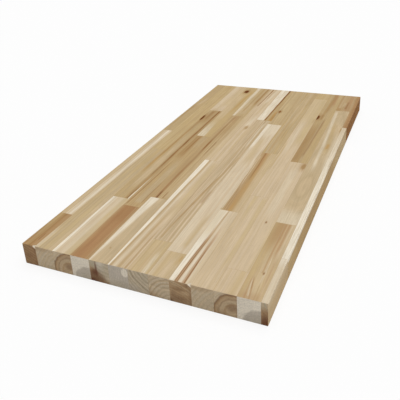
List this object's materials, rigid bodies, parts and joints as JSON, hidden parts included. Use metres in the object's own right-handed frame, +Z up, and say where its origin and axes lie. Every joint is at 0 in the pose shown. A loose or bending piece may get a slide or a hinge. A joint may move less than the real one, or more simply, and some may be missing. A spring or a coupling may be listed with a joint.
{
  "type": "butcher block countertop",
  "caption": "Rectangular edge-grain butcher block countertop of solid hardwood staves, face glued in rows with staggered butt joints, planed flat with eased edges.",
  "frame": {"origin": "middle of the underside", "axes": "+X along the length, +Y across the depth towards the back edge, +Z up out of the worktop"},
  "size_m": [1.27, 0.6096, 0.0571],
  "materials": {
    "cream_sapwood": "planed and sanded, thin matt oil",
    "straw_heartwood": "planed and sanded, thin matt oil",
    "golden_heartwood": "planed and sanded, thin matt oil",
    "grey_tan_heartwood": "planed and sanded, thin matt oil",
    "brown_heartwood": "planed and sanded, thin matt oil",
    "red_brown_heartwood": "planed and sanded, thin matt oil"
  },
  "bodies": {
    "root": {"stave_row_01_1": "brown_heartwood", "stave_row_01_2": "straw_heartwood", "stave_row_01_3": "golden_heartwood", "stave_row_02_1": "grey_tan_heartwood", "stave_row_02_2": "golden_heartwood", "stave_row_03_1": "cream_sapwood", "stave_row_03_2": "grey_tan_heartwood", "stave_row_03_3": "straw_heartwood", "stave_row_04_1": "red_brown_heartwood", "stave_row_04_2": "grey_tan_heartwood", "stave_row_04_3": "straw_heartwood", "stave_row_05_1": "cream_sapwood", "stave_row_05_2": "grey_tan_heartwood", "stave_row_05_3": "grey_tan_heartwood", "stave_row_06_1": "straw_heartwood", "stave_row_06_2": "straw_heartwood", "stave_row_07_1": "grey_tan_heartwood", "stave_row_07_2": "grey_tan_heartwood", "stave_row_07_3": "cream_sapwood", "stave_row_08_1": "golden_heartwood", "stave_row_08_2": "cream_sapwood", "stave_row_08_3": "golden_heartwood", "stave_row_09_1": "cream_sapwood", "stave_row_09_2": "golden_heartwood", "stave_row_09_3": "grey_tan_heartwood", "stave_row_10_1": "grey_tan_heartwood", "stave_row_10_2": "straw_heartwood", "stave_row_10_3": "grey_tan_heartwood", "stave_row_11_1": "straw_heartwood", "stave_row_11_2": "cream_sapwood", "stave_row_11_3": "grey_tan_heartwood", "stave_row_12_1": "golden_heartwood", "stave_row_12_2": "cream_sapwood", "stave_row_12_3": "grey_tan_heartwood", "stave_row_13_1": "golden_heartwood", "stave_row_13_2": "cream_sapwood", "stave_row_13_3": "red_brown_heartwood"}
  },
  "joints": []
}
